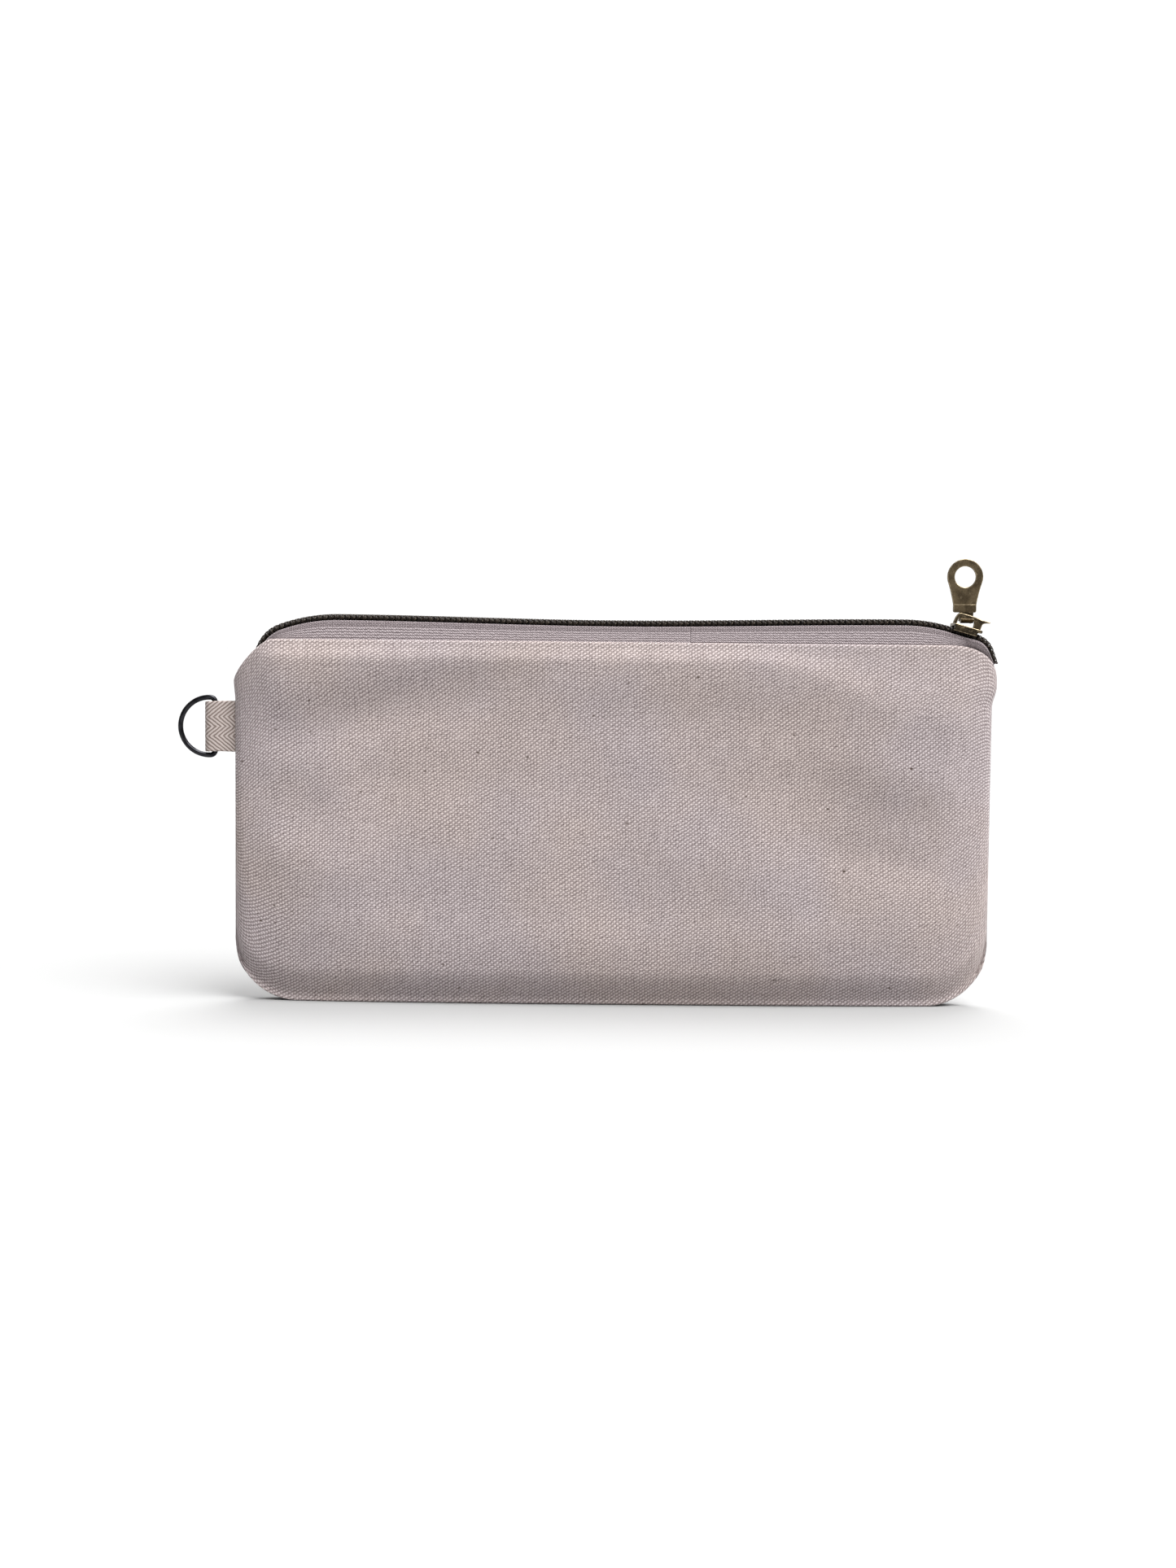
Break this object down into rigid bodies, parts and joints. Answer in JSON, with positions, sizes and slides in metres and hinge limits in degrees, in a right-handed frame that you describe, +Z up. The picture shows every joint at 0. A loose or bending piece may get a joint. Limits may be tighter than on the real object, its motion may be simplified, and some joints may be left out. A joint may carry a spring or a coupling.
{
  "type": "zippered pouch",
  "caption": "Flat lined canvas pouch that stands on its base, with a coil zipper along the top, an eyelet pull tab, and a D-ring held by a webbing loop at one side.",
  "frame": {"origin": "on the surface the pouch stands on, at the middle of its base, under the base seam", "axes": "+X along the zipper towards the end where the closed slider rests, +Y from the front to the back, +Z up"},
  "size_m": [0.2223, 0.02, 0.1219],
  "materials": {
    "canvas": "plain-weave cotton canvas, undyed warm grey with dark flecks",
    "lining": "thin plain cotton",
    "zipper_tape": "ribbed woven polyester tape, mauve grey",
    "coil": "dark brown nylon, half gloss",
    "cord": "twisted polyester cord",
    "thread": "polyester sewing thread, matched to the canvas",
    "tack": "dark polyester sewing thread",
    "slider_metal": "antique brass plating on zinc, darkened",
    "tab_metal": "antique brass plating on zinc, worn on the edges",
    "webbing": "natural herringbone cotton webbing",
    "ring_metal": "gloss black nickel on steel wire"
  },
  "bodies": {
    "pouch": {"front_panel": "canvas", "back_panel": "canvas", "front_lining": "lining", "back_lining": "lining", "front_mouth_thread": "thread", "back_mouth_thread": "thread", "outer_seam_thread": "thread", "lining_seam_thread": "thread", "left_end_tack": "tack", "right_end_tack": "tack"},
    "front_lip": {"front_zipper_tape": "zipper_tape", "front_coil": "coil", "front_core_cord": "cord"},
    "back_lip": {"back_zipper_tape": "zipper_tape", "back_coil": "coil", "back_core_cord": "cord"},
    "slider": {"slider_body": "slider_metal"},
    "pull": {"pull_tab": "tab_metal"},
    "loop": {"side_loop": "webbing"},
    "ring": {"d_ring": "ring_metal"}
  },
  "joints": [
    {"name": "slider_travel", "type": "slide", "parent": "pouch", "child": "slider", "axis": [-0.9999, 0, 0.0166], "range_m": [0, 0.17]},
    {"name": "front_lip_open", "type": "hinge", "parent": "pouch", "child": "front_lip", "pos_m": [0, -0.0043, 0.098], "axis": [1, 0, 0], "range_deg": [0, 50], "deforming": ["front_zipper_tape", "front_coil", "front_core_cord"]},
    {"name": "back_lip_open", "type": "hinge", "parent": "pouch", "child": "back_lip", "pos_m": [0, 0.0043, 0.098], "axis": [-1, 0, 0], "range_deg": [0, 50], "deforming": ["back_zipper_tape", "back_coil", "back_core_cord"]},
    {"name": "pull_swing", "type": "hinge", "parent": "slider", "child": "pull", "pos_m": [0.09466, 0, 0.10645], "axis": [1, 0, 0], "range_deg": [-72, 105]},
    {"name": "loop_swing", "type": "hinge", "parent": "pouch", "child": "loop", "pos_m": [-0.1032, 0, 0.0746], "axis": [0, 0, 1], "range_deg": [-45, 45]},
    {"name": "ring_swing", "type": "hinge", "parent": "loop", "child": "ring", "pos_m": [-0.1086, 0, 0.0746], "axis": [0, 0, 1], "range_deg": [-75, 75]}
  ],
  "couplings": [
    {"joint": "front_lip_open", "follows": "slider_travel", "rad_per_m": 5.13},
    {"joint": "back_lip_open", "follows": "slider_travel", "rad_per_m": 5.13}
  ]
}
